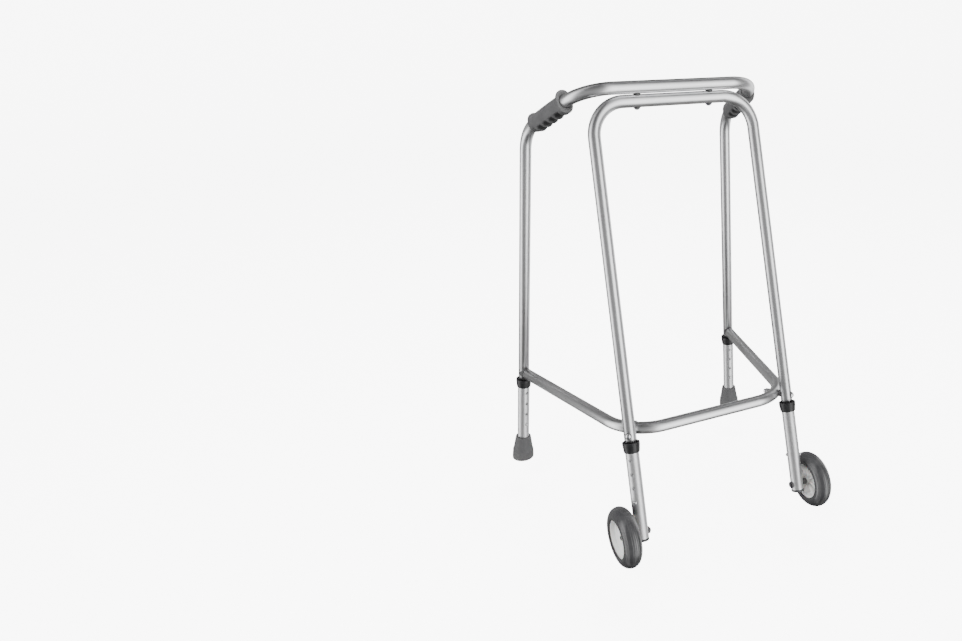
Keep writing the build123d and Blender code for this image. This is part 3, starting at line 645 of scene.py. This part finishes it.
def grip_top(along):
    """The upper side: a gentle crown between two raised hand stops."""
    crown = 0.7 * MM * sin(pi * along / GRIP_LENGTH)
    front = (GRIP_LIP - GRIP_TOP) * (1 - smooth_step(5.0 * MM, 10.5 * MM, along))
    rear = (REAR_LIP - GRIP_TOP) * smooth_step(GRIP_LENGTH - 10.5 * MM, GRIP_LENGTH - 5.0 * MM, along)
    return GRIP_TOP + crown + front + rear


def finger_hollow(along):
    """How deep the underside is hollowed there, as a share: four round notches whose
    narrow ridges stand between them, the front one a little longer."""
    share = 0.0
    for n in range(FINGERS):
        half = FINGER_PITCH * (0.50 if n == 0 else 0.44)
        reach = abs(along - FIRST_FINGER - n * FINGER_PITCH) / half
        share = max(share, 1 - min(1.0, reach) ** 2.6)
    return share


def grip_bottom(along, under):
    """The underside, hollowed for four fingers and running out towards the rear.
    under is 1 straight below and 0 at the sides, where the hollows end."""
    scallop = FINGER_DEPTH * finger_hollow(along) * smooth_step(0.5, 0.82, under)
    run_out = (GRIP_BOTTOM - GRIP_TOP) * smooth_step(GRIP_LENGTH - RUN_OUT, GRIP_LENGTH - 4 * MM, along)
    tongue = 2.4 * MM * smooth_step(GRIP_LENGTH - 8 * MM, GRIP_LENGTH - 4 * MM, along)
    return GRIP_BOTTOM - scallop - run_out + tongue


def grip_ring(along, segments, bore_r):
    """One cross-section: an oval, fuller above and below than a plain ellipse."""
    pull = 1.4 * MM * (1 - end_rounding(along))
    half = GRIP_HALF_WIDTH - pull
    ring = []
    for angle in around(segments):
        c, s = cos(angle), sin(angle)
        tall = (grip_top(along) if s >= 0 else grip_bottom(along, -s)) - pull
        x = half * (1 if c >= 0 else -1) * abs(c) ** 0.85
        y = tall * (1 if s >= 0 else -1) * abs(s) ** 0.92
        reach = sqrt(x * x + y * y)
        keep = max(1.0, (bore_r + 1.0 * MM) / reach)
        ring.append((x * keep, y * keep))
    return ring


def grip(name, side, segments=96, stations=233):
    front = Vector((side * RAIL_CORNER_HALF, RAIL_Y, RAIL_HEIGHT))
    along = (rear_leg(side, ARM_END_HEIGHT) - front).normalized()
    turn = Vector((side, 0, 0)).angle(along)
    start = front + along * (RAIL_BEND * tan(turn / 2) + GRIP_START_GAP)
    level = Vector((along.y, -along.x, 0)).normalized()
    up = level.cross(along) if level.cross(along).z > 0 else along.cross(level)
    bore_r = TUBE_R + 0.05 * MM
    rings = []
    for i in range(stations):
        reach = GRIP_LENGTH * i / (stations - 1)
        rings.append([
            start + along * reach + level * x + up * y
            for x, y in grip_ring(reach, segments, bore_r)
        ])
    for reach in (GRIP_LENGTH - 0.8 * MM, 0.8 * MM):
        rings.append([
            start + along * reach + (level * cos(a) + up * sin(a)) * bore_r
            for a in around(segments)
        ])
    for at, reach in ((stations, GRIP_LENGTH), (len(rings) + 1, 0.0)):
        rings.insert(at, [
            start + along * reach + (level * cos(a) + up * sin(a)) * (bore_r + 0.7 * MM)
            for a in around(segments)
        ])
    bm = bmesh.new()
    # This layer marks the finger hollows on the underside, for the painted shade there.
    shade = bm.verts.layers.float.new("hollow")
    made = lofted(bm, rings, closed_loft=True)
    for i in range(stations):
        reach = GRIP_LENGTH * i / (stations - 1)
        for k, vertex in enumerate(made[i]):
            under = -sin(2 * pi * k / segments)
            vertex[shade] = finger_hollow(reach) * smooth_step(0.72, 0.86, under)
    return finished(name, bm, 50)


for name, side in SIDES.items():
    stand_for(grip(f"moulded_grip_{name}", side), f"grip_{name}", "frame", SOFT["grip"])


# ---------------------------------------------------------------- collars and ferrules
def collar(name, leg, side, button_height):
    """A cup-shaped cap with a raised rim, rounded all over."""
    top, bottom = COLLAR_TOP, COLLAR_BOTTOM
    seat = SLEEVE_R + 0.03 * MM
    corners = [
        (seat, bottom),
        (COLLAR_FOOT_R, bottom),
        (COLLAR_RIM_R, top - 5.0 * MM),
        (COLLAR_RIM_R, top),
        (COLLAR_RIM_R - 1.6 * MM, top),
        (COLLAR_RIM_R - 2.0 * MM, top - 3.4 * MM),
        (COLLAR_BORE_R, top - 4.2 * MM),
        (COLLAR_BORE_R, SLEEVE_TOP + 0.05 * MM),
        (seat, SLEEVE_TOP + 0.05 * MM),
    ]
    radii = [0.2 * MM, 0.9 * MM, 2.0 * MM, 0.7 * MM, 0.6 * MM, 0.5 * MM, 0.4 * MM, 0.2 * MM, 0.0]
    origin = leg(side, button_height)
    return turned(name, rounded(corners, radii), origin, leg_up(leg, side), Vector((1, 0, 0)))


def ferrule(name, side):
    """A flared rubber foot with a step ring, a groove under it and a ringed base."""
    axis = leg_up(rear_leg, side)
    top, ring, base = FERRULE_HEIGHT, FERRULE_RING_HEIGHT, FERRULE_BASE_RADIUS
    bore = SLEEVE_R + 0.05 * MM
    floor_of_bore = (REAR_BUTTON_HEIGHT / axis.z) + REAR_SLEEVE_BOTTOM - 0.1 * MM
    corners, radii = [(0.0, 0.0)], [0.0]
    for ring_radius in TREAD_RINGS:
        near, far = ring_radius - TREAD_HALF_WIDTH, ring_radius + TREAD_HALF_WIDTH
        corners += [(near, 0.0), (near, TREAD_DEPTH), (far, TREAD_DEPTH), (far, 0.0)]
        radii += [0.3 * MM] * 4
    corners += [
        (base - 0.2 * MM, 0.0),
        (base, 5.0 * MM),
        (base - 0.30 * MM, 11.2 * MM),
        (base - 0.75 * MM, 11.9 * MM),
        (base - 0.50 * MM, 12.6 * MM),
        (base - 0.9 * MM, ring),
        (base - 1.9 * MM, ring + 0.9 * MM),
        (FERRULE_TOP_RADIUS, top - 1.2 * MM),
        (FERRULE_TOP_RADIUS - 1.2 * MM, top),
        (bore + 1.0 * MM, top),
        (bore, top - 1.4 * MM),
        (bore, floor_of_bore),
        (0.0, floor_of_bore),
    ]
    radii += [
        0.8 * MM, 3.0 * MM, 0.3 * MM, 0.3 * MM, 0.3 * MM, 0.35 * MM, 0.3 * MM,
        0.8 * MM, 0.8 * MM, 0.4 * MM, 0.4 * MM, 0.3 * MM, 0.0,
    ]
    origin = rear_leg(side, 0.0)
    profile = rounded(corners, radii)
    return turned(name, profile, origin, axis, Vector((1, 0, 0)), level_below=16 * MM)


LEGS = (("front", front_leg, FRONT_BUTTON_HEIGHT), ("rear", rear_leg, REAR_BUTTON_HEIGHT))
for name, side in SIDES.items():
    for end, leg, height in LEGS:
        piece = collar(f"cup_collar_{end}_{name}", leg, side, height)
        body = f"extension_{end}_{name}"
        stand_for(piece, f"collar_{end}_{name}", body, SOFT["black"])
    piece = ferrule(f"rubber_ferrule_{name}", side)
    stand_for(piece, f"ferrule_{name}", f"extension_rear_{name}", SOFT["ferrule"])


# ---------------------------------------------------------------- wheels
def wheel_middle(side):
    return front_leg(side, WHEEL_RADIUS) + Vector((side * WHEEL_OFFSET, 0, 0))


def tyre(name, side):
    """A balloon tyre whose sides carry fine rings, with shallow grooves round the tread.
    Its round section is drawn from the outboard lip over the tread to the inboard one."""
    section = TYRE_HALF_WIDTH
    middle = WHEEL_RADIUS - section
    start, steps = 90 + 13, 150
    grooves, groove_half, groove_depth = (-66, -58, -50, -18, 0, 18, 50, 58, 66), 1.6, 0.28 * MM
    profile = []
    for k in range(steps + 1):
        angle = start - 2 * start * k / steps
        depth = 0.0
        for at in grooves:
            near = max(0.0, 1 - abs(angle - at) / groove_half)
            depth = max(depth, groove_depth * near ** 0.5)
        radius, turn = section - depth, radians(angle)
        profile.append((middle + radius * cos(turn), radius * sin(turn)))
    lip = profile[-1]
    well = HUB_HALF_WIDTH - RIM_FLANGE
    seat = RIM_SEAT_RADIUS + 0.05 * MM
    tail = [
        (RIM_RADIUS + 0.1 * MM, lip[1] + 1.2 * MM),
        (RIM_RADIUS + 0.1 * MM, -well),
        (seat, -well),
        (seat, well),
        (RIM_RADIUS + 0.1 * MM, well),
        (RIM_RADIUS + 0.1 * MM, -lip[1] - 1.2 * MM),
    ]
    axle = Vector((side, 0, 0))
    return turned(name, profile + tail, wheel_middle(side), axle, Vector((0, 0, 1)), 160)


def hub(name, side):
    """A moulded hub: a dished face with rings outboard, and ribs on the leg's side."""
    inner = RIM_SEAT_RADIUS - RIM_WALL
    flange = HUB_HALF_WIDTH - RIM_FLANGE
    face = WEB_INNER + WEB_THICKNESS
    rise = WEB_DISH / (inner - BOSS_RADIUS)
    step = face + rise * (inner - 5.0 * MM - BOSS_RADIUS)
    corners = [
        (BUSH_RADIUS, -HUB_HALF_WIDTH),
        (BOSS_RADIUS, -HUB_HALF_WIDTH),
        (BOSS_RADIUS + 0.3 * MM, WEB_INNER),
        (inner - 0.6 * MM, WEB_INNER + WEB_DISH),
        (inner, -HUB_HALF_WIDTH),
        (RIM_RADIUS, -HUB_HALF_WIDTH),
        (RIM_RADIUS, -flange),
        (RIM_SEAT_RADIUS, -flange),
        (RIM_SEAT_RADIUS, flange),
        (RIM_RADIUS, flange),
        (RIM_RADIUS, HUB_HALF_WIDTH),
        (inner, HUB_HALF_WIDTH),
        (inner - 1.2 * MM, face + WEB_DISH + 0.6 * MM),
        (inner - 4.4 * MM, step + 1.3 * MM),
        (inner - 5.0 * MM, step),
        (BOSS_RADIUS + 0.6 * MM, face),
        (BOSS_RADIUS - 0.4 * MM, HUB_OUTER_END),
        (BUSH_RADIUS, HUB_OUTER_END),
    ]
    radii = [
        0.3 * MM, 0.7 * MM, 1.0 * MM, 1.0 * MM, 0.5 * MM, 0.6 * MM, 0.3 * MM, 0.3 * MM, 0.3 * MM,
        0.3 * MM, 0.6 * MM, 0.7 * MM, 1.6 * MM, 0.6 * MM, 0.6 * MM, 1.2 * MM, 0.8 * MM, 0.3 * MM,
    ]
    middle, axle = wheel_middle(side), Vector((side, 0, 0))
    body = turned(name, rounded(corners, radii, 4), middle, axle, Vector((0, 0, 1)), 144)
    ribs = rib_star(f"{name}_ribs", side, middle, inner)
    join_solid(body, ribs)
    shade_round_boss(body, middle)
    return body


def shade_round_boss(body, middle):
    """Marks how near each point is to the axle, for the painted shade round the foot of the boss."""
    near, far = BOSS_RADIUS + 1.0 * MM, BOSS_RADIUS + 12.0 * MM
    marks = body.data.attributes.new("boss_shade", "FLOAT", "POINT")
    for vertex in body.data.vertices:
        radius = (vertex.co - middle).yz.length
        marks.data[vertex.index].value = 1 - smooth_step(near, far, radius)


def rib_star(name, side, middle, inner):
    """The ribs behind the hub's web, tapered a little as moulded ribs are."""
    bm = bmesh.new()
    low, high = BOSS_RADIUS - 0.6 * MM, inner + 0.6 * MM
    near = -HUB_HALF_WIDTH + RIB_FACE
    far_low, far_high = WEB_INNER + 1.2 * MM, WEB_INNER + WEB_DISH + 1.2 * MM
    for angle in around(HUB_RIBS):
        out = Vector((0, sin(angle), cos(angle)))
        across = Vector((0, cos(angle), -sin(angle)))
        rings = []
        for at_low, at_high, half in (
            (near, near, RIB_WIDTH * 0.36),
            (near + 0.3 * MM, near + 0.3 * MM, RIB_WIDTH * 0.48),
            (far_low, far_high, RIB_WIDTH * 0.58),
        ):
            inside = middle + out * low + Vector((side * at_low, 0, 0))
            outside = middle + out * high + Vector((side * at_high, 0, 0))
            rings.append([
                inside - across * half, outside - across * half,
                outside + across * half, inside + across * half,
            ])
        made = lofted(bm, rings)
        bm.faces.new(made[0])
        bm.faces.new(made[-1])
    return finished(name, bm, 30)


def join_solid(body, other):
    """Unites other with body and removes it."""
    union = body.modifiers.new("unite", "BOOLEAN")
    union.operation = "UNION"
    union.solver = "EXACT"
    union.object = other
    depsgraph = bpy.context.evaluated_depsgraph_get()
    mesh = bpy.data.meshes.new_from_object(body.evaluated_get(depsgraph))
    body.modifiers.clear()
    body.data = mesh
    bpy.data.objects.remove(other)


for name, side in SIDES.items():
    wheel = f"wheel_{name}"
    stand_for(tyre(f"balloon_tyre_{name}", side), f"tyre_{name}", wheel, SOFT["tyre"])
    stand_for(hub(f"ribbed_hub_{name}", side), f"hub_{name}", wheel, SOFT["hub"])


# ---------------------------------------------------------------- the CAD pieces that stay
for name, side in SIDES.items():
    for end, leg in (("front", front_leg), ("rear", rear_leg)):
        wear(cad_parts[f"sleeve_{end}_{name}"], worn_sleeve(leg_tilt(leg, side)))
    wear(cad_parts[f"bush_{name}"], SOFT["bush"])
    wear(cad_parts[f"end_plug_{name}"], SOFT["black"])
    for part in ("axle_saddle", "axle_spacer"):
        wear(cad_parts[f"{part}_{name}"], SOFT["black"])
    wear(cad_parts[f"axle_bolt_{name}"], METAL["axle"])
    wear(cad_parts[f"axle_nut_{name}"], METAL["steel"])

for node in ("crossbar_saddles", "crossbar_washers", "brace_saddles", "brace_washers",
             "brace_end_plugs", "rear_washers"):
    wear(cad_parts[node], SOFT["black"])

for node in ("crossbar_bolts", "crossbar_inserts", "brace_bolts", "brace_nuts", "rear_bolts"):
    wear(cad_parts[node], METAL["steel"])

for node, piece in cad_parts.items():
    if node.startswith("snap_spring"):
        wear(piece, METAL["spring"])
    elif node.startswith("snap_button"):
        wear(piece, METAL["steel"])


# ---------------------------------------------------------------- studio
def studio_bowl():
    """A pale floor that curves up all round into a backdrop. The object neither mirrors it
    nor is shaded by it, so its metal shows the bands of the room's soft strips instead. It
    lies just under the longest setting of the legs, so that it hides none of their length."""
    radius, bend, top, drop = 6.0, 1.6, 6.0, 80 * MM
    section = [(radius - bend, 0.0)]
    for a in range(6, 90, 6):
        section.append((radius - bend + bend * sin(radians(a)), bend - bend * cos(radians(a))))
    section += [(radius, bend), (radius, top)]
    bm = bmesh.new()
    made = lofted(bm, [
        [Vector((r * cos(radians(a)), r * sin(radians(a)), z - drop)) for a in range(0, 360, 3)]
        for r, z in section
    ])
    bm.faces.new(made[0])
    bowl = finished("studio_bowl", bm, 89)
    wear(bowl, studio_paper())
    bowl.visible_glossy = False
    bowl.visible_diffuse = False
    bowl.visible_shadow = False


def softbox(name, place, aim, size, power):
    """A rectangular lamp that lights the object, but isn't mirrored in it."""
    light = bpy.data.lights.new(name, "AREA")
    light.shape = "RECTANGLE"
    light.size, light.size_y = size
    light.energy = power
    lamp = bpy.data.objects.new(name, light)
    bpy.context.scene.collection.objects.link(lamp)
    lamp.location = place
    lamp.rotation_euler = (Vector(aim) - Vector(place)).to_track_quat("-Z", "Y").to_euler()
    lamp.visible_glossy = False


def camera():
    """Stands in front, to the object's left (-X), and looks down at it."""
    data = bpy.data.cameras.new("view")
    data.sensor_width = 36.0
    data.lens = 28.44
    data.shift_x = -0.1942
    data.shift_y = -0.0080
    data.clip_start, data.clip_end = 0.01, 60
    eye = bpy.data.objects.new("view", data)
    bpy.context.scene.collection.objects.link(eye)
    yaw, pitch, roll = radians(-26.62), radians(-22.02), radians(0.17)
    turn = Matrix.Rotation(yaw, 4, "Z") @ Matrix.Rotation(pi / 2 + pitch, 4, "X")
    turn = turn @ Matrix.Rotation(roll, 4, "Z")
    eye.matrix_world = Matrix.Translation((-0.62846, -1.21355, 0.93070)) @ turn
    bpy.context.scene.camera = eye


def ramp(tree, source, stops):
    """A smooth curve of brightness through (place, brightness) stops."""
    node = tree.nodes.new("ShaderNodeValToRGB")
    node.color_ramp.interpolation = "EASE"
    points = node.color_ramp.elements
    while len(points) < len(stops):
        points.new(0.5)
    for point, (place, bright) in zip(points, stops):
        point.position = place
        point.color = (bright, bright, bright, 1)
    tree.links.new(source, node.inputs[0])
    return node.outputs[0]


def scaled(tree, source, factor, offset):
    """source times factor, plus offset."""
    node = tree.nodes.new("ShaderNodeMath")
    node.operation = "MULTIPLY_ADD"
    node.inputs[1].default_value, node.inputs[2].default_value = factor, offset
    tree.links.new(source, node.inputs[0])
    return node.outputs[0]


ROOM_SHADE = 0.10


def strip(heading, half_width, bright):
    """Stops of one upright soft strip; heading and half width are in degrees."""
    middle, half, soft = 0.5 + heading / 360, half_width / 360, 0.035
    return [
        (middle - half - soft, ROOM_SHADE), (middle - half, bright),
        (middle + half, bright), (middle + half + soft, ROOM_SHADE),
    ]


def studio_world():
    """A dim room with three upright soft strips round the object, dimmer overhead."""
    world = bpy.data.worlds.new("studio")
    bpy.context.scene.world = world
    world.use_nodes = True
    tree = world.node_tree
    split = tree.nodes.new("ShaderNodeSeparateXYZ")
    tree.links.new(tree.nodes.new("ShaderNodeTexCoord").outputs["Generated"], split.inputs[0])
    heading = tree.nodes.new("ShaderNodeMath")
    heading.operation = "ARCTAN2"
    tree.links.new(split.outputs["X"], heading.inputs[0])
    tree.links.new(scaled(tree, split.outputs["Y"], -1.0, 0.0), heading.inputs[1])
    sideways = ramp(tree, scaled(tree, heading.outputs[0], 1 / (2 * pi), 0.5), [
        (0.0, ROOM_SHADE), *strip(-100, 11, 0.95), *strip(23, 13, 1.0), *strip(108, 11, 0.55),
        (1.0, ROOM_SHADE),
    ])
    upward = ramp(tree, scaled(tree, split.outputs["Z"], 0.5, 0.5), [
        (0.0, 0.12), (0.12, 0.3), (0.22, 0.9), (0.5, 1.0), (0.72, 0.7), (0.88, 0.3), (1.0, 0.22),
    ])
    both = tree.nodes.new("ShaderNodeMix")
    both.data_type, both.blend_type = "RGBA", "MULTIPLY"
    both.inputs[0].default_value = 1.0
    tree.links.new(sideways, both.inputs[6])
    tree.links.new(upward, both.inputs[7])
    background = tree.nodes["Background"]
    tree.links.new(both.outputs[2], background.inputs["Color"])
    background.inputs["Strength"].default_value = 4.2


def studio_light():
    studio_world()
    aim = (0, 0, 0.4)
    softbox("key", (-1.6, -1.4, 2.4), aim, (1.2, 1.2), 85)
    softbox("overhead", (0.3, 0.3, 3.0), aim, (2.4, 2.0), 115)


studio_bowl()
studio_light()
camera()
